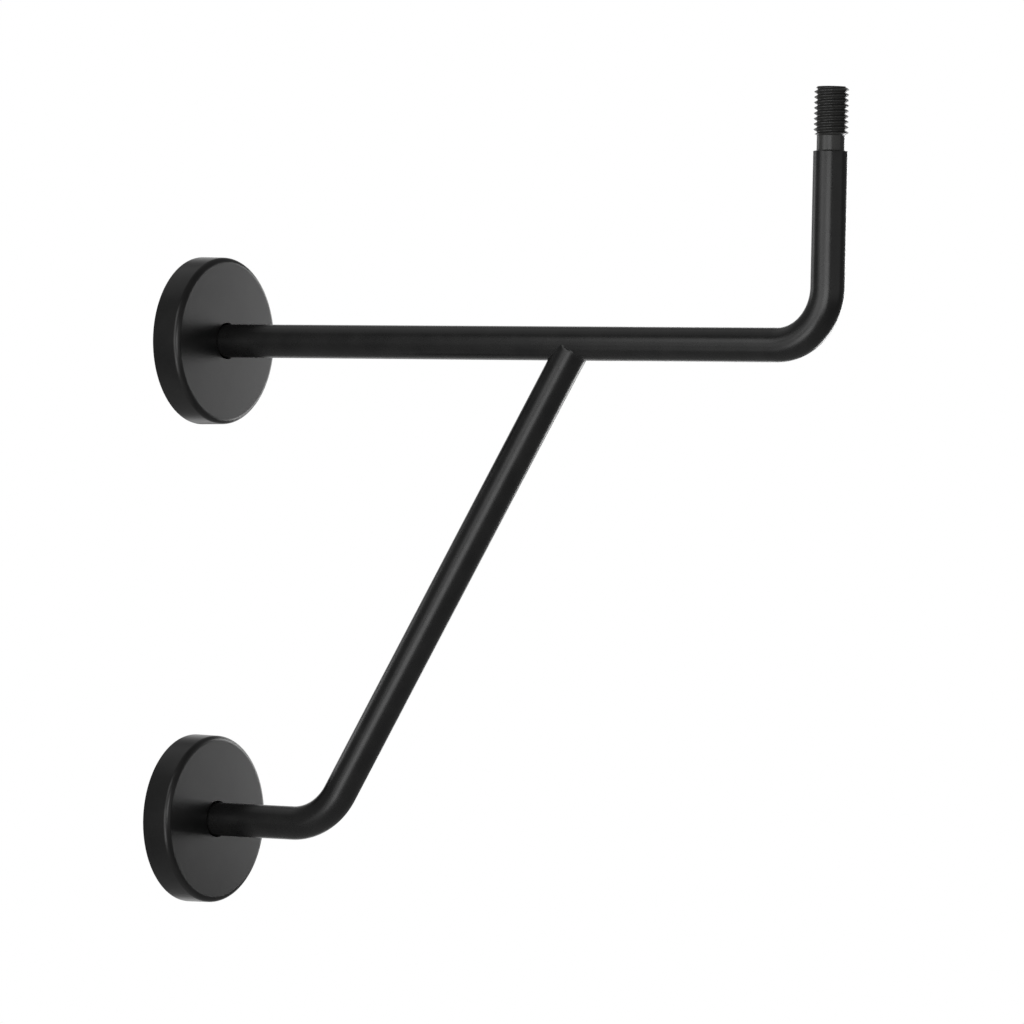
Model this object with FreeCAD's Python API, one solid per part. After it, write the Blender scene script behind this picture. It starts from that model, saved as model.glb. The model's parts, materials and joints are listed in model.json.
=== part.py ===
import FreeCAD, Part
import math
import os

from FreeCAD import Vector

# Handrail bracket with a braced arm. A bent round bar with a threaded tip stands off the wall on
# a screwed base plate, a second bent bar props it from a lower base plate, and a pressed cap
# hides each plate. All sizes are in millimetres. The bar, the thread and the wall screws are of
# inch sizes: half inch bar and thread, quarter inch plate and screws.
#
# Frame: the origin is the centre of the upper base plate's wall face, +X points away from the
# wall and +Z up. The axes of both bars lie in the plane Y = 0.

INCH = 25.4

# ---- driving sizes ----

# The bracket as a whole
REACH = 280.5  # wall to the axis of the upright end
PLATE_SPACING = 183.1  # centre to centre of the two base plates
TIP_HEIGHT = 93.8  # axis of the arm to the top of the thread

# The bars, both cut from one round stock
ROD_DIAMETER = 0.5 * INCH
ARM_BEND_RADIUS = 21.2  # bend radii are those of the bar's axis
BRACE_BEND_RADIUS = 25.4
BRACE_FOOT_REACH = 61.4  # wall to the point where the brace's two straight axes cross
BRACE_JOINT_REACH = 171.5  # wall to the point where the brace's axis crosses the arm's

# The turned end: a coarse thread on the bar's full diameter, over a neck as thin as its root
THREADS_PER_INCH = 13
THREAD_LENGTH = 17.8
THREAD_TIP_CHAMFER = 1.1
THREAD_RUNOUT = 0.6  # height of the cone between the neck and the first full crest
NECK_LENGTH = 5.6
NECK_FILLET = 0.4
SHOULDER_ROUND = 0.25

# The base plates, hidden by the covers
PLATE_DIAMETER = 61.5
PLATE_THICKNESS = 0.25 * INCH
PLATE_CHAMFER = 0.5
SCREWS_PER_PLATE = 3
SCREW_EDGE_DISTANCE = 9.5  # plate's edge to the axis of a screw
SCREW_HOLE_DIAMETER = 6.8
COUNTERSINK_DIAMETER = 13.0
COUNTERSINK_ANGLE = 82.0  # full angle of the cone, in degrees

# The covers, pressed from sheet
COVER_SHEET = 1.0
COVER_BEND_RADIUS = 1.1  # inside the bend between its wall and its face
COVER_DRAFT = 0.2  # how much less the radius is at the face than at the wall
COVER_HOLE_ROUND = 0.3

# The welds
PLATE_WELD_LEG = 3.0
BRACE_WELD_LEG = 1.2  # reach of the bead along each bar from the seam
BRACE_WELD_CROWN = 0.25  # height of the bead over the straight line between its toes
BRACE_WELD_CLOSING = 1.4  # length of seam on each side of the joint where the bead turns over
BRACE_WELD_STEPS = 16  # spans along each half of the seam

# Clearances
COVER_TO_PLATE = 0.2  # radial, at the plate's front edge
COVER_TO_ROD = 0.5  # radial
COVER_OVER_WELD = 1.25  # depth left between the plate's weld and the inside of the cover
BRACE_WELD_GAP = 0.08  # between the bead's flat facets and the round bars

# ---- sizes that follow ----

ROD_RADIUS = ROD_DIAMETER / 2
THREAD_PITCH = INCH / THREADS_PER_INCH
DEPTH_PER_PITCH = 0.61343  # of a 60 degree outside thread, from crest to root
NECK_RADIUS = ROD_RADIUS - DEPTH_PER_PITCH * THREAD_PITCH
SHOULDER_HEIGHT = TIP_HEIGHT - THREAD_LENGTH - NECK_LENGTH
PLATE_RADIUS = PLATE_DIAMETER / 2
SCREW_CIRCLE_RADIUS = PLATE_RADIUS - SCREW_EDGE_DISTANCE
COVER_DEPTH = PLATE_THICKNESS + PLATE_WELD_LEG + COVER_OVER_WELD + COVER_SHEET
DRAFT_AT_PLATE = COVER_DRAFT * PLATE_THICKNESS / COVER_DEPTH
COVER_RIM_RADIUS = PLATE_RADIUS + COVER_TO_PLATE + COVER_SHEET + DRAFT_AT_PLATE
COVER_FACE_RADIUS = COVER_RIM_RADIUS - COVER_DRAFT
COVER_HOLE_RADIUS = ROD_RADIUS + COVER_TO_ROD

OUTWARD = Vector(1, 0, 0)
SIDEWAYS = Vector(0, 1, 0)
UP = Vector(0, 0, 1)

UPPER = Vector(0, 0, 0)
LOWER = UPPER - UP * PLATE_SPACING
ARM_CORNER = UPPER + OUTWARD * REACH
BRACE_CORNER = LOWER + OUTWARD * BRACE_FOOT_REACH
BRACE_JOINT = UPPER + OUTWARD * BRACE_JOINT_REACH
BRACE_SLOPE = (BRACE_JOINT - BRACE_CORNER).normalize()

SAME_PLACE = 1e-6


# ---- shared shapes ----


def revolved(profile, centre, radial, axis):
    """Solid of revolution about axis, from points given as (radius, height over centre)."""
    corners = [centre + radial * radius + axis * height for radius, height in profile]
    face = Part.Face(Part.makePolygon(corners + corners[:1]))
    return face.revolve(centre, axis, 360)


def round_edges(shape, radius, centre):
    """The circular edges of one radius about one centre."""
    circles = [edge for edge in shape.Edges if isinstance(edge.Curve, Part.Circle)]
    return [
        edge
        for edge in circles
        if abs(edge.Curve.Radius - radius) < SAME_PLACE
        and edge.Curve.Center.isEqual(centre, SAME_PLACE)
    ]


def straight_bar(start, end):
    """Round bar between two points."""
    run = end - start
    return Part.makeCylinder(ROD_RADIUS, run.Length, start, run)


def bent_bar(start, corner, end, bend_radius):
    """Round bar from start to end, with one bend that is tangent to both runs at the corner."""
    way_in = (corner - start).normalize()
    way_out = (end - corner).normalize()
    turn = way_in.getAngle(way_out)
    setback = bend_radius * math.tan(turn / 2)
    bend_start = corner - way_in * setback
    bend_end = corner + way_out * setback
    bend_axis = way_in.cross(way_out).normalize()
    bend_centre = bend_start + bend_axis.cross(way_in) * bend_radius
    section = Part.Face(Part.Wire(Part.makeCircle(ROD_RADIUS, bend_start, way_in)))
    bend = section.revolve(bend_centre, bend_axis, math.degrees(turn))
    return bend.fuse([straight_bar(start, bend_start), straight_bar(bend_end, end)])


# ---- bars ----


def turned_end(base_height):
    """The top of the upright end, from base_height to the tip: shoulder, neck and thread. The
    thread is plain here, at its outside diameter."""
    thread_start = SHOULDER_HEIGHT + NECK_LENGTH
    profile = [
        (0, base_height),
        (ROD_RADIUS, base_height),
        (ROD_RADIUS, SHOULDER_HEIGHT),
        (NECK_RADIUS, SHOULDER_HEIGHT),
        (NECK_RADIUS, thread_start),
        (ROD_RADIUS, thread_start + THREAD_RUNOUT),
        (ROD_RADIUS, TIP_HEIGHT - THREAD_TIP_CHAMFER),
        (ROD_RADIUS - THREAD_TIP_CHAMFER, TIP_HEIGHT),
        (0, TIP_HEIGHT),
    ]
    shoulder = ARM_CORNER + UP * SHOULDER_HEIGHT
    turned = revolved(profile, ARM_CORNER, OUTWARD, UP)
    turned = turned.makeFillet(NECK_FILLET, round_edges(turned, NECK_RADIUS, shoulder))
    return turned.makeFillet(SHOULDER_ROUND, round_edges(turned, ROD_RADIUS, shoulder))


def arm_rod():
    """The arm: out from the upper plate and square up, with the turned end on top."""
    turned_from = (ARM_BEND_RADIUS + SHOULDER_HEIGHT) / 2
    start = UPPER + OUTWARD * PLATE_THICKNESS
    bar = bent_bar(start, ARM_CORNER, ARM_CORNER + UP * turned_from, ARM_BEND_RADIUS)
    return bar.fuse(turned_end(turned_from)).removeSplitter()


def brace_rod(arm):
    """The brace: out from the lower plate and up to the arm, with its end coped to the arm."""
    start = LOWER + OUTWARD * PLATE_THICKNESS
    bar = bent_bar(start, BRACE_CORNER, BRACE_JOINT, BRACE_BEND_RADIUS)
    return bar.cut(arm).removeSplitter()


# ---- plates and covers ----


def base_plate(centre, first_screw):
    """Round plate with a ring of countersunk screw holes, the first towards first_screw."""
    plate = Part.makeCylinder(PLATE_RADIUS, PLATE_THICKNESS, centre, OUTWARD)
    front = centre + OUTWARD * PLATE_THICKNESS
    plate = plate.makeChamfer(PLATE_CHAMFER, round_edges(plate, PLATE_RADIUS, front))
    hole_radius = SCREW_HOLE_DIAMETER / 2
    sink_radius = COUNTERSINK_DIAMETER / 2
    sink_depth = (sink_radius - hole_radius) / math.tan(math.radians(COUNTERSINK_ANGLE / 2))
    for screw in range(SCREWS_PER_PLATE):
        turn = FreeCAD.Rotation(OUTWARD, 360 * screw / SCREWS_PER_PLATE)
        offset = turn.multVec(first_screw) * SCREW_CIRCLE_RADIUS
        hole = Part.makeCylinder(hole_radius, PLATE_THICKNESS, centre + offset, OUTWARD)
        sink_floor = front + offset - OUTWARD * sink_depth
        sink = Part.makeCone(hole_radius, sink_radius, sink_depth, sink_floor, OUTWARD)
        plate = plate.cut([hole, sink])
    return plate


def drum(centre, inset):
    """The solid that the cover's outside encloses, or its inside if inset by the sheet."""
    depth = COVER_DEPTH - inset
    face_radius = COVER_FACE_RADIUS - inset
    solid = Part.makeCone(COVER_RIM_RADIUS - inset, face_radius, depth, centre, OUTWARD)
    face_edge = round_edges(solid, face_radius, centre + OUTWARD * depth)
    return solid.makeFillet(COVER_BEND_RADIUS + COVER_SHEET - inset, face_edge)


def cover(centre):
    """Pressed cap over a base plate, open to the wall, with a hole for the bar."""
    rod_hole = Part.makeCylinder(COVER_HOLE_RADIUS, COVER_DEPTH, centre, OUTWARD)
    cap = drum(centre, 0).cut([drum(centre, COVER_SHEET), rod_hole])
    face_centre = centre + OUTWARD * COVER_DEPTH
    hole_edge = round_edges(cap, COVER_HOLE_RADIUS, face_centre)
    return cap.makeFillet(COVER_HOLE_ROUND, hole_edge)


# ---- welds ----


def plate_weld(centre):
    """Fillet weld round a bar where it stands on its plate."""
    profile = [
        (ROD_RADIUS, PLATE_THICKNESS),
        (ROD_RADIUS + PLATE_WELD_LEG, PLATE_THICKNESS),
        (ROD_RADIUS, PLATE_THICKNESS + PLATE_WELD_LEG),
    ]
    return revolved(profile, centre, UP, OUTWARD)


def wall_normal(point, axis):
    """The way out of a bar at a point near its wall. The bar's axis runs through the joint."""
    from_joint = point - BRACE_JOINT
    return (from_joint - axis * from_joint.dot(axis)).normalize()


def toe(point, axis):
    """The foot of the bead on a bar: the point moved to just off the bar's wall."""
    along = axis * (point - BRACE_JOINT).dot(axis)
    return BRACE_JOINT + along + wall_normal(point, axis) * (ROD_RADIUS + BRACE_WELD_GAP)


def bead_section(seam, along_arm, along_brace):
    """Section of the bead at a point of the seam: a toe on each bar, root and crown."""
    arm_toe = toe(seam + along_arm, OUTWARD)
    brace_toe = toe(seam + along_brace, BRACE_SLOPE)
    both_normals = wall_normal(arm_toe, OUTWARD) + wall_normal(brace_toe, BRACE_SLOPE)
    way_out = both_normals.normalize()
    root = seam + way_out * (BRACE_WELD_GAP / way_out.dot(wall_normal(seam, OUTWARD)))
    crown = (arm_toe + brace_toe) / 2 + way_out * BRACE_WELD_CROWN
    return Part.makePolygon([arm_toe, root, brace_toe, crown, arm_toe])


def brace_weld():
    """Bead round the seam between brace and arm.

    Two round bars of one diameter meet along two half ellipses, one in each plane that halves an
    angle between their axes. Both end on the bars' sides, level with the joint, where the bead
    passes from one to the other.
    """
    half_angle = OUTWARD.getAngle(BRACE_SLOPE) / 2
    turn_limit = math.acos(BRACE_WELD_CLOSING * math.cos(half_angle) / ROD_RADIUS)
    turns = [turn_limit * (2 * step / BRACE_WELD_STEPS - 1) for step in range(BRACE_WELD_STEPS + 1)]
    halves = [
        (-1 / math.tan(half_angle), turns, SIDEWAYS),  # facing the wall
        (math.tan(half_angle), turns[::-1], -SIDEWAYS),  # facing away from it
    ]
    sections = []
    for lean, half_turns, last_side in halves:
        for turn in half_turns:
            drop = ROD_RADIUS * math.cos(turn)
            seam = BRACE_JOINT + Vector(lean * drop, ROD_RADIUS * math.sin(turn), -drop)
            arm_out = wall_normal(seam, OUTWARD)
            brace_out = wall_normal(seam, BRACE_SLOPE)
            shared = arm_out.dot(brace_out)
            along_arm = (brace_out - arm_out * shared).normalize() * BRACE_WELD_LEG
            along_brace = (arm_out - brace_out * shared).normalize() * BRACE_WELD_LEG
            sections.append(bead_section(seam, along_arm, along_brace))
        seam = BRACE_JOINT + last_side * ROD_RADIUS
        corner_reach = BRACE_SLOPE * BRACE_WELD_LEG
        sections.append(bead_section(seam, corner_reach, -corner_reach * math.sqrt(2)))
    return Part.makeLoft(sections, True, True, True)


# ---- the bracket ----


def bracket():
    """Every piece of the bracket, by the name of its node."""
    arm = arm_rod()
    return {
        "arm_rod": arm,
        "brace_rod": brace_rod(arm),
        "upper_base_plate": base_plate(UPPER, UP),
        "lower_base_plate": base_plate(LOWER, -UP),
        "upper_cover": cover(UPPER),
        "lower_cover": cover(LOWER),
        "upper_plate_weld": plate_weld(UPPER),
        "lower_plate_weld": plate_weld(LOWER),
        "brace_weld": brace_weld(),
    }


os.makedirs("parts", exist_ok=True)
for node, shape in bracket().items():
    shape.exportStep(f"parts/{node}.step")
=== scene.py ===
"""Looks of a braced handrail bracket: black satin bars with a cut thread, and pressed covers."""

import json
import math

import bmesh
import bpy
from bpy.props import FloatProperty, FloatVectorProperty, IntProperty, PointerProperty
from bpy.types import Operator, Panel, PropertyGroup
from mathutils import Matrix, Vector


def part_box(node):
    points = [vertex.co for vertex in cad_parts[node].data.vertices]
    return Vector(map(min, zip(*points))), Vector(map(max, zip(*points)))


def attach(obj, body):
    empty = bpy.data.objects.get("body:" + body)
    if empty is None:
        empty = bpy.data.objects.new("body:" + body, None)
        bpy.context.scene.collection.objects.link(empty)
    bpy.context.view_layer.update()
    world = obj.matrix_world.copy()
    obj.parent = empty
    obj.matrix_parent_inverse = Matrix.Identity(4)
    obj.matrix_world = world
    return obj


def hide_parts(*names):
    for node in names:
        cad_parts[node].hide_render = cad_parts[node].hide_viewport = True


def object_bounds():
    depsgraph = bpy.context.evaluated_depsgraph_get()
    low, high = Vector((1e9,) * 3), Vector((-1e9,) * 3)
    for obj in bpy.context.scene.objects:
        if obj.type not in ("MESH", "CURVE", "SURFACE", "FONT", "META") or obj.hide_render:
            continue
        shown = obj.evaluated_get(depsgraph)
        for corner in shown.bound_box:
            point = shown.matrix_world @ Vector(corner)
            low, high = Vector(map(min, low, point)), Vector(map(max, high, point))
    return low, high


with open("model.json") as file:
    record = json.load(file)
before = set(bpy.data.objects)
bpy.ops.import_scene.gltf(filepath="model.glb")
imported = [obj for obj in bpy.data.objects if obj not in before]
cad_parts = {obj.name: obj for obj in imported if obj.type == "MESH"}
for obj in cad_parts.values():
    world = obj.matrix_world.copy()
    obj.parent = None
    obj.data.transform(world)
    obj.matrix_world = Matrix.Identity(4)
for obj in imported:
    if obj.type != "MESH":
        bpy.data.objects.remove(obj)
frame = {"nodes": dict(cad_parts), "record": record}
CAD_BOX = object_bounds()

bl_info = {
    "name": "Handrail Bracket",
    "version": (1, 0, 0),
    "blender": (4, 5, 0),
    "location": "View3D > Sidebar > Bracket",
    "description": "Models and finishes a braced handrail bracket with a threaded tip",
    "category": "Object",
}

BODY = "root"
OUTWARD = Vector((1, 0, 0))
UP = Vector((0, 0, 1))
QUARTER_TURN = math.pi / 2
FULL_TURN = 2 * math.pi

# Edges that turn by less than this are shaded smooth
SMOOTH_UNDER = math.radians(30)

# A coarse 60 degree thread: its depth as a share of its pitch, and the slope of its flanks
DEPTH_PER_PITCH = 0.61343
FLANK_ANGLE = math.radians(30)


# ---- places that the frame gives ----

ARM_LOW, ARM_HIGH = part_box("arm_rod")
COVER_LOW, COVER_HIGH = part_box("upper_cover")
MOUNTS = {mount["name"]: mount for mount in frame["record"]["mounts"]}

BAR_RADIUS = ARM_HIGH.y
PLATE_FACE = ARM_LOW.x
REACH = ARM_HIGH.x - BAR_RADIUS
TIP_HEIGHT = ARM_HIGH.z
UPPER = Vector(MOUNTS["upper_wall_face"]["pos_m"])
LOWER = Vector(MOUNTS["lower_wall_face"]["pos_m"])
ARM_CORNER = UPPER + OUTWARD * REACH
COVER_DEPTH = COVER_HIGH.x - COVER_LOW.x
COVER_RIM_RADIUS = COVER_HIGH.y


# ---- settings ----


def length(name, description, default):
    return FloatProperty(
        name=name, description=description, default=default, min=0, unit="LENGTH", precision=5
    )


def share(name, description, default):
    return FloatProperty(
        name=name, description=description, default=default, min=0, max=1, subtype="FACTOR"
    )


def count(name, description, default):
    return IntProperty(name=name, description=description, default=default, min=3)


def angle(name, description, degrees):
    return FloatProperty(
        name=name, description=description, default=math.radians(degrees), subtype="ANGLE"
    )


def colour(name, description, default):
    return FloatVectorProperty(
        name=name, description=description, default=default, size=4, min=0, max=1, subtype="COLOR"
    )


class BarSettings(PropertyGroup):
    arm_bend: length("Arm bend radius", "Bar's axis where the arm turns up", 0.0212)
    brace_bend: length("Brace bend radius", "Bar's axis where the brace turns up", 0.0254)
    foot_reach: length("Brace foot reach", "Wall to where the brace's two axes cross", 0.0614)
    joint_reach: length("Brace joint reach", "Wall to where brace and arm axes cross", 0.1715)
    facets: count("Facets", "Facets round a bar", 96)
    bend_steps: count("Bend steps", "Steps along each bend", 40)


class ThreadSettings(PropertyGroup):
    pitch: length("Pitch", "Crest to crest", 0.0254 / 13)
    length: length("Length", "Tip to the start of the neck", 0.0178)
    neck_length: length("Neck length", "Plain turned neck between thread and shoulder", 0.0056)
    chamfer: length("Tip chamfer", "Chamfer on the end of the thread", 0.0011)
    run_out: length("Run-out", "Height of the cone from the neck to the full crest", 0.0006)
    shoulder_round: length("Shoulder round", "Rounding of the shoulder's edge", 0.00025)
    neck_fillet: length("Neck fillet", "Fillet between shoulder and neck", 0.0004)
    facets: count("Facets", "Facets in one turn of the thread", 72)


class CoverSettings(PropertyGroup):
    sheet: length("Sheet", "Thickness of the pressed sheet", 0.001)
    edge_round: length("Edge round", "Outside radius of the bend from wall to face", 0.0021)
    draft: length("Draft", "How much less the radius is at the face than at the wall", 0.0002)
    hole_gap: length("Hole gap", "Between the bar and the hole", 0.0005)
    hole_round: length("Hole round", "Rounding of the hole's edge", 0.0003)
    rim_round: length("Rim round", "Rounding of the rim's edges", 0.00015)
    facets: count("Facets", "Facets round a cover", 160)


class WeldSettings(PropertyGroup):
    end_gap: length("End gap", "Brace's square end to the arm's axis, along the brace", 0.00175)
    proud: length("Proud", "How far the dressed end stands off the brace", 0.00018)
    sink: length("Sink", "How far the weld starts under the bars' surfaces", 0.00008)
    run: length("Run", "Length of the brace that the dressed weld covers", 0.012)
    grid: length("Grid", "Grid of the weld's mesh", 0.00022)
    dressing: count("Dressing", "Rounds of smoothing over the weld", 12)


class FinishSettings(PropertyGroup):
    coat_dark: colour("Coat, dark", "Darkest colour of the coat", (0.0035, 0.0035, 0.0036, 1))
    coat_light: colour("Coat, light", "Lightest colour of the coat", (0.0075, 0.0075, 0.0074, 1))
    turned_coat: colour("Turned end", "Thinner coat on neck and thread", (0.024, 0.024, 0.0232, 1))
    primer_dark: colour("Primer, dark", "Darkest colour of the plates", (0.009, 0.009, 0.0095, 1))
    primer_light: colour("Primer, light", "Lightest colour of the plates", (0.02, 0.02, 0.02, 1))
    gloss: share("Gloss", "How strongly every coat here mirrors", 0.325)
    bar_roughness: share("Bar roughness", "Middle of the bars' range", 0.28)
    cover_roughness: share("Cover roughness", "Middle of the covers' range", 0.29)
    plate_roughness: share("Plate roughness", "Middle of the plates' range", 0.44)
    weld_roughness: share("Weld roughness", "Middle of the hidden welds' range", 0.38)


class StageSettings(PropertyGroup):
    floor_drop: length("Floor drop", "How far the floor lies under the bracket", 0.75)
    floor_size: length("Floor size", "Width of the floor", 24)
    floor_colour: colour("Floor", "Colour of the floor", (0.82, 0.82, 0.82, 1))
    floor_lift: share("Floor lift", "What the floor's own light misses to white", 0.5)
    studio_light: share("Studio light", "Strength of the light from all round", 0.235)
    camera_azimuth: angle("Camera azimuth", "Turned from straight in front", 33.9525)
    camera_elevation: angle("Camera elevation", "Over level", 0.1905)
    camera_roll: angle("Camera roll", "Turned about its own line of sight", 1.1911)
    camera_place: FloatVectorProperty(
        name="Camera place",
        description="Where the camera stands",
        default=(1.672333, -2.268986, -0.053873),
        subtype="TRANSLATION",
    )
    camera_lens: FloatProperty(
        name="Camera lens", description="Focal length", default=258.01, unit="CAMERA"
    )


class BracketSettings(PropertyGroup):
    bars: PointerProperty(type=BarSettings)
    thread: PointerProperty(type=ThreadSettings)
    covers: PointerProperty(type=CoverSettings)
    weld: PointerProperty(type=WeldSettings)
    finish: PointerProperty(type=FinishSettings)
    stage: PointerProperty(type=StageSettings)


def settings():
    """The bracket's own settings in the scene."""
    return bpy.context.scene.handrail_bracket


# ---- bench: small steps that every piece uses ----


def clear_bench():
    """Leaves edit mode and deselects everything."""
    if bpy.context.mode != "OBJECT":
        bpy.ops.object.mode_set(mode="OBJECT")
    bpy.ops.object.select_all(action="DESELECT")


def take(name):
    """Names the primitive that was just added, and puts its place into its mesh."""
    piece = bpy.context.object
    piece.name = name
    piece.data.name = name
    bpy.ops.object.transform_apply(location=True, rotation=True, scale=True)
    return piece


def hold(piece):
    """Selects the piece alone."""
    clear_bench()
    bpy.context.view_layer.objects.active = piece
    piece.select_set(True)


def edit_all(piece):
    """Goes into edit mode with all of the piece selected."""
    hold(piece)
    bpy.ops.object.mode_set(mode="EDIT")
    bpy.ops.mesh.select_all(action="SELECT")


def pick(piece, kind, wanted):
    """In edit mode, selects the verts, edges or faces that wanted() accepts, and nothing else."""
    bpy.ops.mesh.select_mode(type=kind)
    bpy.ops.mesh.select_all(action="DESELECT")
    mesh = bmesh.from_edit_mesh(piece.data)
    parts = {"VERT": mesh.verts, "EDGE": mesh.edges, "FACE": mesh.faces}[kind]
    found = [part for part in parts if wanted(part)]
    if not found:
        raise RuntimeError(f"{piece.name}: no {kind.lower()} was found to select")
    for part in found:
        part.select = True
    mesh.select_flush_mode()
    bmesh.update_edit_mesh(piece.data)


def apply_modifier(piece, kind, **values):
    """Adds a modifier with these values and applies it."""
    hold(piece)
    bpy.ops.object.modifier_add(type=kind)
    modifier = piece.modifiers[-1]
    for key, value in values.items():
        setattr(modifier, key, value)
    bpy.ops.object.modifier_apply(modifier=modifier.name)


def combine(piece, other, operation, keep_other=False):
    """Adds the other solid to the piece, or cuts it out."""
    apply_modifier(piece, "BOOLEAN", operation=operation, solver="EXACT", object=other)
    if not keep_other:
        bpy.data.objects.remove(other)


def finish_piece(piece, material, slot, *nodes, smooth_angle=SMOOTH_UNDER):
    """Shades the piece, gives it its finish and puts it in the place of its CAD nodes."""
    hold(piece)
    bpy.ops.object.shade_smooth_by_angle(angle=smooth_angle)
    apply_modifier(piece, "WEIGHTED_NORMAL", mode="FACE_AREA", weight=50, keep_sharp=True)
    piece.data.materials.clear()
    piece.data.materials.append(material)
    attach(piece, BODY)
    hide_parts(*nodes)


# ---- bars ----


def start_bar(name, start, facets):
    """A disc across the bar's axis at its plate, ready to be drawn out."""
    clear_bench()
    bpy.ops.mesh.primitive_circle_add(
        vertices=facets,
        radius=BAR_RADIUS,
        fill_type="NGON",
        location=start,
        rotation=(0, QUARTER_TURN, 0),
    )
    bar = take(name)
    edit_all(bar)
    return bar


def draw_out(offset):
    """Draws the selected end out by an offset."""
    bpy.ops.mesh.extrude_region_move(TRANSFORM_OT_translate={"value": offset})


def bend_up(centre, turn, steps):
    """Sweeps the selected end upwards about a centre of bend."""
    bpy.ops.mesh.spin(steps=steps, angle=turn, center=centre, axis=(0, 1, 0))


def turn_step(height, radius, last_height, last_radius):
    """Draws the upright end out to a height, and sizes it to a radius there."""
    draw_out(UP * (height - last_height))
    scale = radius / last_radius
    bpy.ops.transform.resize(value=(scale, scale, 1), center_override=ARM_CORNER + UP * height)


def root_radius(thread):
    """The thread's root, which is the neck's radius too."""
    return BAR_RADIUS - DEPTH_PER_PITCH * thread.pitch


def quarter_round(centre_height, centre_radius, size, first, last, steps=4):
    """(height, radius) points on a quarter circle, by angles from the radial direction."""
    for step in range(steps + 1):
        turn = first + (last - first) * step / steps
        yield centre_height + size * math.sin(turn), centre_radius + size * math.cos(turn)


def shoulder_height(thread):
    """Height of the step from the full bar to the neck."""
    return TIP_HEIGHT - thread.length - thread.neck_length


def turned_profile(thread):
    """The turned end from its shoulder to its tip, as (height, radius)."""
    thread_start = TIP_HEIGHT - thread.length
    shoulder = shoulder_height(thread)
    neck = root_radius(thread)
    edge = thread.shoulder_round
    fillet = thread.neck_fillet
    profile = list(quarter_round(shoulder - edge, BAR_RADIUS - edge, edge, 0, QUARTER_TURN))
    profile += quarter_round(shoulder + fillet, neck + fillet, fillet, -QUARTER_TURN, -math.pi)
    profile += [
        (thread_start, neck),
        (thread_start + thread.run_out, BAR_RADIUS),
        (TIP_HEIGHT - thread.chamfer, BAR_RADIUS),
        (TIP_HEIGHT, BAR_RADIUS - thread.chamfer),
    ]
    return profile


def groove_outline(thread):
    """Section of the groove between two crests, as (radius, height) from its middle."""
    neck = root_radius(thread)
    over_bar = 0.0004
    over_bar_slope = 1.27
    crest_break = 0.00004
    root_round = 0.00012
    root_widening = 0.00005
    root_flat_share = 0.45
    half_mouth = thread.pitch * 7 / 16
    half_root = half_mouth - (BAR_RADIUS - neck) * math.tan(FLANK_ANGLE)
    lower_half = [
        (BAR_RADIUS + over_bar, -half_mouth - over_bar * over_bar_slope),
        (BAR_RADIUS - crest_break, -half_mouth),
        (neck + root_round, -half_root - root_widening),
        (neck, -half_root * root_flat_share),
    ]
    upper_half = [(radius, -height) for radius, height in reversed(lower_half)]
    return lower_half + upper_half


def thread_groove(thread):
    """The right-hand helical groove, as a cutter that runs past both ends of the thread."""
    outline = groove_outline(thread)
    turns = math.ceil(thread.length / thread.pitch) + 2
    bottom = TIP_HEIGHT - thread.length - thread.pitch
    clear_bench()
    bpy.ops.mesh.primitive_circle_add(
        vertices=len(outline), radius=BAR_RADIUS, location=ARM_CORNER + UP * bottom
    )
    cutter = bpy.context.object
    for vertex, (radius, height) in zip(cutter.data.vertices, outline):
        vertex.co = (radius, 0, height)
    apply_modifier(
        cutter,
        "SCREW",
        axis="Z",
        angle=FULL_TURN,
        screw_offset=thread.pitch,
        iterations=turns,
        steps=thread.facets,
        render_steps=thread.facets,
        use_normal_calculate=True,
    )
    take("thread_groove")
    edit_all(cutter)
    bpy.ops.mesh.select_mode(type="EDGE")
    bpy.ops.mesh.select_all(action="DESELECT")
    bpy.ops.mesh.select_non_manifold(extend=False)
    bpy.ops.mesh.edge_face_add()
    bpy.ops.mesh.select_all(action="SELECT")
    bpy.ops.mesh.normals_make_consistent(inside=False)
    clear_bench()
    return cutter


def build_arm():
    """The arm: drawn out from its plate, bent up, turned down at its end, and threaded."""
    bars = settings().bars
    thread = settings().thread
    arm = start_bar("arm_bar", UPPER + OUTWARD * PLATE_FACE, bars.facets)
    bend_start = REACH - bars.arm_bend
    draw_out(OUTWARD * (bend_start - PLATE_FACE))
    bend_centre = UPPER + OUTWARD * bend_start + UP * bars.arm_bend
    bend_up(bend_centre, QUARTER_TURN, bars.bend_steps)
    height, radius = bars.arm_bend, BAR_RADIUS
    for next_height, next_radius in turned_profile(thread):
        turn_step(next_height, next_radius, height, radius)
        height, radius = next_height, next_radius
    edit_all(arm)
    bpy.ops.mesh.normals_make_consistent(inside=False)
    combine(arm, thread_groove(thread), "DIFFERENCE")
    return arm


def brace_joint():
    """Where the brace's axis crosses the arm's."""
    return UPPER + OUTWARD * settings().bars.joint_reach


def brace_corner():
    """Where the brace's two straight axes cross."""
    return LOWER + OUTWARD * settings().bars.foot_reach


def brace_slope():
    """Direction of the brace from its bend up to the arm."""
    return (brace_joint() - brace_corner()).normalized()


def brace_end():
    """Middle of the brace's square end, which stops short of the arm's axis."""
    return brace_joint() - brace_slope() * settings().weld.end_gap


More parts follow.
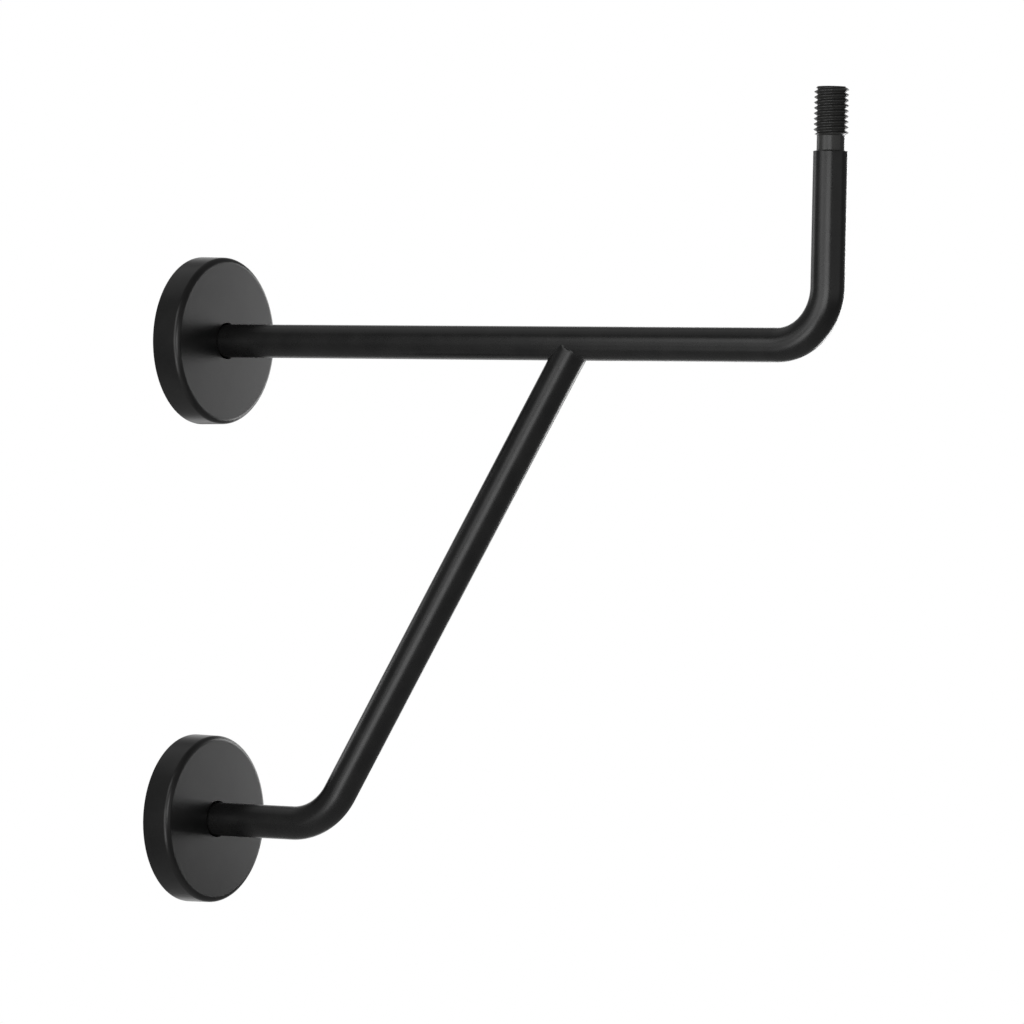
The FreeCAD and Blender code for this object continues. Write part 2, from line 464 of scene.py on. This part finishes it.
def build_brace():
    """The brace: drawn out from its plate, bent up to the arm, coped to it and cut square."""
    bars = settings().bars
    turn = OUTWARD.angle(brace_slope())
    setback = bars.brace_bend * math.tan(turn / 2)
    bend_start = brace_corner() - OUTWARD * setback
    bend_end = brace_corner() + brace_slope() * setback
    brace = start_bar("brace_bar", LOWER + OUTWARD * PLATE_FACE, bars.facets)
    draw_out(OUTWARD * (bend_start.x - PLATE_FACE))
    bend_up(bend_start + UP * bars.brace_bend, turn, bars.bend_steps)
    draw_out(brace_end() - bend_end)
    edit_all(brace)
    bpy.ops.mesh.normals_make_consistent(inside=False)
    combine(brace, bpy.data.objects["arm_bar"], "DIFFERENCE", keep_other=True)
    return brace


def build_brace_weld():
    """The weld between brace and arm, dressed by hand: stubs of both bars, joined and smoothed."""
    weld = settings().weld
    slope = brace_slope()
    inside = BAR_RADIUS - weld.sink
    facets = settings().bars.facets
    acute_side = BAR_RADIUS / math.tan(OUTWARD.angle(slope) / 2)
    margin = 0.004
    clear_bench()
    bpy.ops.mesh.primitive_cylinder_add(
        vertices=facets,
        radius=inside,
        depth=acute_side + BAR_RADIUS + 2 * margin,
        location=brace_joint() - OUTWARD * (acute_side - BAR_RADIUS) / 2,
        rotation=(0, QUARTER_TURN, 0),
    )
    arm_stub = take("arm_stub")
    clear_bench()
    bpy.ops.mesh.primitive_cone_add(
        vertices=facets,
        radius1=inside,
        radius2=BAR_RADIUS + weld.proud,
        depth=weld.run,
        end_fill_type="NGON",
        location=brace_end() - slope * weld.run / 2,
        rotation=slope.to_track_quat("Z", "Y").to_euler(),
    )
    dressed = take("dressed_weld")
    combine(dressed, arm_stub, "UNION")
    apply_modifier(dressed, "REMESH", mode="VOXEL", voxel_size=weld.grid, adaptivity=0)
    apply_modifier(dressed, "SMOOTH", factor=0.5, iterations=weld.dressing)
    return dressed


# ---- covers ----

# A face counts as the drum's front or back if its normal has at least this much along the bars
FACING = 0.9

# How near an edge has to lie to a ring to belong to it
ON_RING = 0.0002


def build_cover(name, centre):
    """A pressed cap: a drum with an open back and a hole, given its sheet and its rounded edges."""
    covers = settings().covers
    face_radius = COVER_RIM_RADIUS - covers.draft
    hole_radius = BAR_RADIUS + covers.hole_gap
    clear_bench()
    bpy.ops.mesh.primitive_cone_add(
        vertices=covers.facets,
        radius1=COVER_RIM_RADIUS,
        radius2=face_radius,
        depth=COVER_DEPTH,
        end_fill_type="NGON",
        location=centre + OUTWARD * (COVER_DEPTH / 2),
        rotation=(0, QUARTER_TURN, 0),
    )
    cover = take(name)
    edit_all(cover)
    pick(cover, "FACE", lambda face: face.normal.x < -FACING)
    bpy.ops.mesh.delete(type="FACE")
    pick(cover, "FACE", lambda face: face.normal.x > FACING)
    inset_by = (face_radius - hole_radius) * math.cos(math.pi / covers.facets)
    bpy.ops.mesh.inset(thickness=inset_by, depth=0)
    bpy.ops.mesh.delete(type="FACE")
    apply_modifier(cover, "SOLIDIFY", thickness=covers.sheet, offset=-1, use_even_offset=True)
    edit_all(cover)
    pick(cover, "VERT", lambda vertex: vertex.co.x < covers.sheet / 2)
    bpy.ops.transform.resize(value=(0, 1, 1), center_override=centre)
    sheet = covers.sheet
    rings = (
        (COVER_DEPTH, face_radius, covers.edge_round, 8),
        (COVER_DEPTH - sheet, face_radius - sheet, covers.edge_round - sheet, 6),
        (COVER_DEPTH, hole_radius, covers.hole_round, 4),
        (0, COVER_RIM_RADIUS, covers.rim_round, 3),
        (0, COVER_RIM_RADIUS - sheet, covers.rim_round, 3),
    )
    for height, radius, size, steps in rings:
        bevel_ring(cover, centre, height, radius, size, steps)
    return cover


def bevel_ring(piece, centre, height, radius, size, steps):
    """Rounds the ring of edges at this height over the wall and this radius."""

    def on_ring(edge):
        for vertex in edge.verts:
            offset = vertex.co - centre
            across = math.hypot(offset.y, offset.z)
            if abs(offset.x - height) > ON_RING or abs(across - radius) > ON_RING:
                return False
        return True

    edit_all(piece)
    pick(piece, "EDGE", on_ring)
    bpy.ops.mesh.bevel(offset=size, offset_type="OFFSET", segments=steps, profile=0.5)
    clear_bench()


# ---- finishes ----

# Nearly all values of a noise pattern lie in this range
NOISE_RANGE = (0.3, 0.7)

# Height over which the coat thins out at the shoulder
THIN_COAT_FADE = 0.0002


class Finish:
    """A coated surface: one shader, and patterns in object space that vary it."""

    def __init__(self, name):
        self.material = bpy.data.materials.new(name)
        self.material.use_nodes = True
        self.tree = self.material.node_tree
        self.shader = self.tree.nodes["Principled BSDF"]
        self.shader.inputs["Specular IOR Level"].default_value = settings().finish.gloss
        self.place = self.add("ShaderNodeTexCoord").outputs["Object"]
        self.colour_so_far = None
        self.relief_so_far = None

    def add(self, kind, inputs=None, **values):
        node = self.tree.nodes.new(kind)
        for key, value in values.items():
            setattr(node, key, value)
        for socket, value in (inputs or {}).items():
            node.inputs[socket].default_value = value
        return node

    def link(self, output, node, socket):
        self.tree.links.new(output, node.inputs[socket])

    def mapped(self, scale, centre=(0, 0, 0)):
        """Object coordinates about a centre, times a scale on each axis."""
        offset = [-place * size for place, size in zip(centre, scale)]
        mapping = self.add("ShaderNodeMapping", {"Location": offset, "Scale": scale})
        self.link(self.place, mapping, "Vector")
        return mapping.outputs["Vector"]

    def grain(self, size, stretch=(1, 1, 1), detail=2.0):
        """Noise with features of this size, drawn out by the stretch on each axis."""
        scale = [1 / (size * longer) for longer in stretch]
        noise = self.add("ShaderNodeTexNoise", {"Scale": 1.0, "Detail": detail})
        self.link(self.mapped(scale), noise, "Vector")
        return noise.outputs["Fac"]

    def rings(self, spacing, centre):
        """Turning marks about a centre, on faces across the bars."""
        # The texture has a ring every 2 pi / 20 units
        scale = FULL_TURN / 20 / spacing
        wave = self.add(
            "ShaderNodeTexWave",
            {"Scale": 1.0, "Distortion": 0.6, "Detail": 1.0},
            wave_type="RINGS",
            rings_direction="X",
        )
        self.link(self.mapped([scale] * 3, centre), wave, "Vector")
        return wave.outputs["Fac"]

    def ripples(self, number, centre):
        """The ripples of a bead that was laid round a bar."""
        split = self.add("ShaderNodeSeparateXYZ")
        self.link(self.mapped((1, 1, 1), centre), split, "Vector")
        around = self.add("ShaderNodeMath", operation="ARCTAN2")
        self.link(split.outputs["Z"], around, 0)
        self.link(split.outputs["Y"], around, 1)
        times = self.add("ShaderNodeMath", {1: number}, operation="MULTIPLY")
        self.link(around.outputs[0], times, 0)
        wave = self.add("ShaderNodeMath", operation="SINE")
        self.link(times.outputs[0], wave, 0)
        return self.ranged(wave.outputs[0], (-1, 1), 0, 1)

    def ranged(self, pattern, of, low, high):
        """The pattern's values from one range to another."""
        inputs = {"From Min": of[0], "From Max": of[1], "To Min": low, "To Max": high}
        spread = self.add("ShaderNodeMapRange", inputs)
        self.link(pattern, spread, "Value")
        return spread.outputs["Result"]

    def mix_colour(self, amount, second, first=None):
        """Takes the colour to the second one, from the first or from what it is so far."""
        mix = self.add("ShaderNodeMix", data_type="RGBA")
        first_socket, second_socket = [way for way in mix.inputs if way.type == "RGBA"]
        second_socket.default_value = second
        if first is None:
            self.tree.links.new(self.colour_so_far, first_socket)
        else:
            first_socket.default_value = first
        self.link(amount, mix, "Factor")
        self.colour_so_far = [way for way in mix.outputs if way.type == "RGBA"][0]
        self.link(self.colour_so_far, self.shader, "Base Color")

    def tint(self, pattern, dark, light):
        """Lets the pattern take the colour from dark to light."""
        self.mix_colour(self.ranged(pattern, NOISE_RANGE, 0, 1), light, first=dark)

    def thin_above(self, height, colour):
        """Lets the coat be thinner, and so paler, from this height up."""
        place = self.add("ShaderNodeSeparateXYZ")
        self.link(self.place, place, "Vector")
        fade = (height - THIN_COAT_FADE, height)
        self.mix_colour(self.ranged(place.outputs["Z"], fade, 0, 1), colour)

    def dull(self, pattern, middle, spread):
        """Lets the pattern take the roughness to both sides of its middle."""
        roughness = self.ranged(pattern, NOISE_RANGE, middle - spread, middle + spread)
        self.link(roughness, self.shader, "Roughness")

    def relief(self, pattern, depth):
        """Adds the pattern to the surface as fine relief, this deep."""
        bump = self.add("ShaderNodeBump", {"Strength": 1.0, "Distance": depth})
        self.link(pattern, bump, "Height")
        if self.relief_so_far:
            self.link(self.relief_so_far, bump, "Normal")
        self.relief_so_far = bump.outputs["Normal"]
        self.link(self.relief_so_far, self.shader, "Normal")


def bar_finish():
    """Satin black coat over drawn bar, with a fine even texture. Both bars share it."""
    made = bpy.data.materials.get("coated_bar")
    if made:
        return made
    finish = settings().finish
    coat = Finish("coated_bar")
    coat.tint(coat.grain(size=0.009, detail=4), finish.coat_dark, finish.coat_light)
    coat.thin_above(shoulder_height(settings().thread), finish.turned_coat)
    coat.dull(coat.grain(size=0.0035, detail=4), finish.bar_roughness, spread=0.015)
    coat.relief(coat.grain(size=0.0009), depth=0.0000012)
    coat.relief(coat.grain(size=0.0003), depth=0.000001)
    return coat.material


def dressed_finish():
    """The bars' coat over metal that was dressed by hand, so a little less even."""
    finish = settings().finish
    coat = Finish("coated_dressing")
    coat.tint(coat.grain(size=0.009, detail=4), finish.coat_dark, finish.coat_light)
    coat.dull(coat.grain(size=0.0035, detail=4), finish.bar_roughness, spread=0.02)
    coat.relief(coat.grain(size=0.0009), depth=0.0000012)
    coat.relief(coat.grain(size=0.0022, detail=1), depth=0.000006)
    return coat.material


def cover_finish():
    """The same coat over sheet that was brushed upright before it was coated."""
    finish = settings().finish
    coat = Finish("coated_sheet")
    coat.tint(coat.grain(size=0.012, detail=4), finish.coat_dark, finish.coat_light)
    brushed = coat.grain(size=0.0006, stretch=(1, 1, 30), detail=3)
    coat.dull(brushed, finish.cover_roughness, spread=0.01)
    coat.relief(coat.grain(size=0.0009), depth=0.000002)
    coat.relief(brushed, depth=0.0000008)
    return coat.material


def plate_finish(name, centre):
    """Thin primer over a turned plate, with the turning marks showing through."""
    finish = settings().finish
    primer = Finish(name)
    primer.tint(primer.grain(size=0.006, detail=5), finish.primer_dark, finish.primer_light)
    primer.dull(primer.grain(size=0.002, detail=4), finish.plate_roughness, spread=0.06)
    primer.relief(primer.rings(spacing=0.0009, centre=centre), depth=0.000006)
    primer.relief(primer.grain(size=0.0006), depth=0.00001)
    return primer.material


def weld_finish(name, centre):
    """Coat over a bead as it was laid, with its ripples."""
    finish = settings().finish
    coat = Finish(name)
    coat.tint(coat.grain(size=0.004, detail=4), finish.coat_dark, finish.coat_light)
    coat.dull(coat.grain(size=0.0015, detail=4), finish.weld_roughness, spread=0.08)
    coat.relief(coat.ripples(number=34, centre=centre), depth=0.00015)
    coat.relief(coat.grain(size=0.0009, detail=3), depth=0.00004)
    return coat.material


def finish_node(name, material):
    """Gives a CAD node that stays in view its finish."""
    node = frame["nodes"][name]
    node.data.materials.clear()
    node.data.materials.append(material)


# ---- stage ----

# Soft lamps round the bracket: name, azimuth, elevation, distance, width, height, power in watts
LAMPS = (
    ("near_front", 355, 2, 0.6, 0.6, 0.3, 0.46),
    ("near_front_right", 35, 2, 0.6, 0.28, 0.3, 1.15),
    ("near_front_high", 345, 28, 0.6, 0.3, 0.25, 0.55),
    ("near_front_low", 357, -26, 0.6, 0.6, 0.25, 0.47),
    ("far_front", 354, 0, 1.5, 0.9, 0.5, 3.0),
    ("far_front_low", 2, -25, 1.5, 0.7, 0.5, 3.4),
    ("near_behind", 170, 0, 0.5, 0.14, 0.4, 1.12),
    ("near_behind_left", 200, 0, 0.5, 0.14, 0.4, 0.33),
    ("far_behind_low", 218, -25, 1.5, 0.58, 0.5, 0.75),
    ("left", 270, 0, 1.5, 0.6, 0.5, 1.85),
    ("left_high", 270, 52, 1.5, 1.2, 0.8, 0.9),
    ("right", 82, 0, 1.5, 1.8, 0.6, 1.9),
)
LAMP_CENTRE = Vector((0.13, 0, -0.05))

# The floor's own colour shows within the first radius, and plain white from the second on
FLOOR_FADE = (0.5, 1.3)

# The white backdrop starts at the first and is whole at the second, as cosines to its middle
BACKDROP_FADE = (0.8, 1.0)


def towards(azimuth, elevation):
    """Direction from the bracket to something at this azimuth and elevation."""
    across = math.cos(elevation)
    return Vector((math.sin(azimuth) * across, -math.cos(azimuth) * across, math.sin(elevation)))


def build_floor():
    """A pale floor that keeps the bracket's shadow, and fades to plain white for the camera."""
    stage = settings().stage
    height = CAD_BOX[0][2] - stage.floor_drop
    middle = (CAD_BOX[0] + CAD_BOX[1]) / 2
    clear_bench()
    bpy.ops.mesh.primitive_plane_add(size=stage.floor_size, location=(middle.x, 0, height))
    floor = take("floor")
    paper = Finish("pale_floor")
    paper.shader.inputs["Base Color"].default_value = stage.floor_colour
    paper.shader.inputs["Roughness"].default_value = 0.9
    paper.shader.inputs["Specular IOR Level"].default_value = 0.2
    paper.relief(paper.grain(size=0.004, detail=3), depth=0.00002)
    path = paper.add("ShaderNodeLightPath")
    lift = paper.add("ShaderNodeEmission", {"Strength": stage.floor_lift})
    white = paper.add("ShaderNodeEmission", {"Strength": 1.0})
    lifted = paper.add("ShaderNodeAddShader")
    paper.link(paper.shader.outputs[0], lifted, 0)
    paper.link(lift.outputs[0], lifted, 1)
    away = paper.add("ShaderNodeVectorMath", operation="LENGTH")
    paper.link(paper.mapped((1, 1, 0), middle), away, 0)
    far = paper.ranged(away.outputs["Value"], FLOOR_FADE, 0, 1)
    seen = paper.add("ShaderNodeMixShader")
    paper.link(far, seen, 0)
    paper.link(lifted.outputs[0], seen, 1)
    paper.link(white.outputs[0], seen, 2)
    whole = paper.add("ShaderNodeMixShader")
    paper.link(path.outputs["Is Camera Ray"], whole, 0)
    paper.link(paper.shader.outputs[0], whole, 1)
    paper.link(seen.outputs[0], whole, 2)
    paper.link(whole.outputs[0], paper.tree.nodes["Material Output"], "Surface")
    floor.data.materials.append(paper.material)


def build_world():
    """Even studio light, and a white backdrop for the camera and for what the gloss shows."""
    stage = settings().stage
    world = bpy.data.worlds.new("studio")
    bpy.context.scene.world = world
    world.use_nodes = True
    world.cycles.sampling_method = "NONE"
    tree = world.node_tree
    tree.nodes.clear()

    def add(kind, **values):
        node = tree.nodes.new(kind)
        for key, value in values.items():
            setattr(node, key, value)
        return node

    def strength(node, value):
        node.inputs["Color"].default_value = (1, 1, 1, 1)
        node.inputs["Strength"].default_value = value
        return node.outputs[0]

    path = add("ShaderNodeLightPath")
    direction = add("ShaderNodeTexCoord")
    facing = add("ShaderNodeVectorMath", operation="DOT_PRODUCT")
    facing.inputs[1].default_value = -towards(stage.camera_azimuth, 0)
    tree.links.new(direction.outputs["Generated"], facing.inputs[0])
    backdrop = add("ShaderNodeMapRange", interpolation_type="SMOOTHSTEP")
    backdrop.inputs["From Min"].default_value = BACKDROP_FADE[0]
    backdrop.inputs["From Max"].default_value = BACKDROP_FADE[1]
    tree.links.new(facing.outputs["Value"], backdrop.inputs["Value"])
    mirrored = add("ShaderNodeMath", operation="MAXIMUM")
    tree.links.new(path.outputs["Is Glossy Ray"], mirrored.inputs[0])
    tree.links.new(path.outputs["Is Transmission Ray"], mirrored.inputs[1])
    in_gloss = add("ShaderNodeMath", operation="MULTIPLY")
    tree.links.new(mirrored.outputs[0], in_gloss.inputs[0])
    tree.links.new(backdrop.outputs["Result"], in_gloss.inputs[1])
    shown = add("ShaderNodeMath", operation="MAXIMUM")
    tree.links.new(path.outputs["Is Camera Ray"], shown.inputs[0])
    tree.links.new(in_gloss.outputs[0], shown.inputs[1])
    mix = add("ShaderNodeMixShader")
    tree.links.new(shown.outputs[0], mix.inputs[0])
    tree.links.new(strength(add("ShaderNodeBackground"), stage.studio_light), mix.inputs[1])
    tree.links.new(strength(add("ShaderNodeBackground"), 1.0), mix.inputs[2])
    tree.links.new(mix.outputs[0], add("ShaderNodeOutputWorld").inputs[0])


def build_lamps():
    """The soft lamps, each turned to the bracket and unseen by the camera."""
    for name, azimuth, elevation, distance, width, height, power in LAMPS:
        direction = towards(math.radians(azimuth), math.radians(elevation))
        clear_bench()
        bpy.ops.object.light_add(
            type="AREA",
            location=LAMP_CENTRE + direction * distance,
            rotation=direction.to_track_quat("Z", "Y").to_euler(),
        )
        lamp = bpy.context.object
        lamp.name = name
        lamp.data.shape = "RECTANGLE"
        lamp.data.size = width
        lamp.data.size_y = height
        lamp.data.energy = power
        lamp.visible_camera = False


def build_camera():
    """The camera, by its place, the way that it looks and its roll."""
    stage = settings().stage
    back = towards(stage.camera_azimuth, stage.camera_elevation)
    right = UP.cross(back).normalized()
    up = back.cross(right)
    turned = Matrix((right, up, back)).transposed() @ Matrix.Rotation(stage.camera_roll, 3, "Z")
    clear_bench()
    bpy.ops.object.camera_add(location=stage.camera_place, rotation=turned.to_euler())
    camera = bpy.context.object
    camera.name = "camera"
    camera.data.lens = stage.camera_lens
    camera.data.sensor_width = 36
    camera.data.clip_end = 100
    bpy.context.scene.camera = camera


# ---- steps in the sidebar ----


class BRACKET_OT_arm(Operator):
    """Model the arm with its bend, turned end and thread"""

    bl_idname = "bracket.arm"
    bl_label = "Arm"

    def execute(self, context):
        finish_piece(build_arm(), bar_finish(), "bar_coat", "arm_rod")
        return {"FINISHED"}


class BRACKET_OT_brace(Operator):
    """Model the brace and cope it to the arm"""

    bl_idname = "bracket.brace"
    bl_label = "Brace"

    def execute(self, context):
        finish_piece(build_brace(), bar_finish(), "bar_coat", "brace_rod")
        return {"FINISHED"}


class BRACKET_OT_brace_weld(Operator):
    """Model the dressed weld between the brace and the arm"""

    bl_idname = "bracket.brace_weld"
    bl_label = "Brace Weld"

    def execute(self, context):
        weld = build_brace_weld()
        finish_piece(weld, dressed_finish(), "weld_coat", "brace_weld", smooth_angle=math.pi)
        return {"FINISHED"}


class BRACKET_OT_covers(Operator):
    """Model the two pressed covers"""

    bl_idname = "bracket.covers"
    bl_label = "Covers"

    def execute(self, context):
        coat = cover_finish()
        finish_piece(build_cover("upper_cap", UPPER), coat, "cover_coat", "upper_cover")
        finish_piece(build_cover("lower_cap", LOWER), coat, "cover_coat", "lower_cover")
        return {"FINISHED"}


class BRACKET_OT_feet(Operator):
    """Finish the base plates and the welds that hold the bars to them"""

    bl_idname = "bracket.feet"
    bl_label = "Plates and Their Welds"

    def execute(self, context):
        for side, centre in (("upper", UPPER), ("lower", LOWER)):
            finish_node(f"{side}_base_plate", plate_finish(f"{side}_plate_primer", centre))
            finish_node(f"{side}_plate_weld", weld_finish(f"{side}_weld_coat", centre))
        return {"FINISHED"}


class BRACKET_OT_stage(Operator):
    """Set the floor, the light and the camera"""

    bl_idname = "bracket.stage"
    bl_label = "Stage"

    def execute(self, context):
        build_floor()
        build_world()
        build_lamps()
        build_camera()
        context.scene.view_settings.view_transform = "Standard"
        return {"FINISHED"}


STEPS = (
    BRACKET_OT_arm,
    BRACKET_OT_brace,
    BRACKET_OT_brace_weld,
    BRACKET_OT_covers,
    BRACKET_OT_feet,
    BRACKET_OT_stage,
)


class BRACKET_PT_steps(Panel):
    """The steps that make the bracket, in their order"""

    bl_idname = "BRACKET_PT_steps"
    bl_label = "Handrail Bracket"
    bl_space_type = "VIEW_3D"
    bl_region_type = "UI"
    bl_category = "Bracket"

    def draw(self, context):
        for step in STEPS:
            self.layout.operator(step.bl_idname)


CLASSES = (
    BarSettings,
    ThreadSettings,
    CoverSettings,
    WeldSettings,
    FinishSettings,
    StageSettings,
    BracketSettings,
    *STEPS,
    BRACKET_PT_steps,
)


def register():
    for cls in CLASSES:
        bpy.utils.register_class(cls)
    bpy.types.Scene.handrail_bracket = PointerProperty(type=BracketSettings)


def unregister():
    del bpy.types.Scene.handrail_bracket
    for cls in reversed(CLASSES):
        bpy.utils.unregister_class(cls)


def main():
    """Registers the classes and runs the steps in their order."""
    register()
    bpy.ops.bracket.arm()
    bpy.ops.bracket.brace()
    bpy.ops.bracket.brace_weld()
    bpy.ops.bracket.covers()
    bpy.ops.bracket.feet()
    bpy.ops.bracket.stage()


if __name__ == "__main__":
    main()
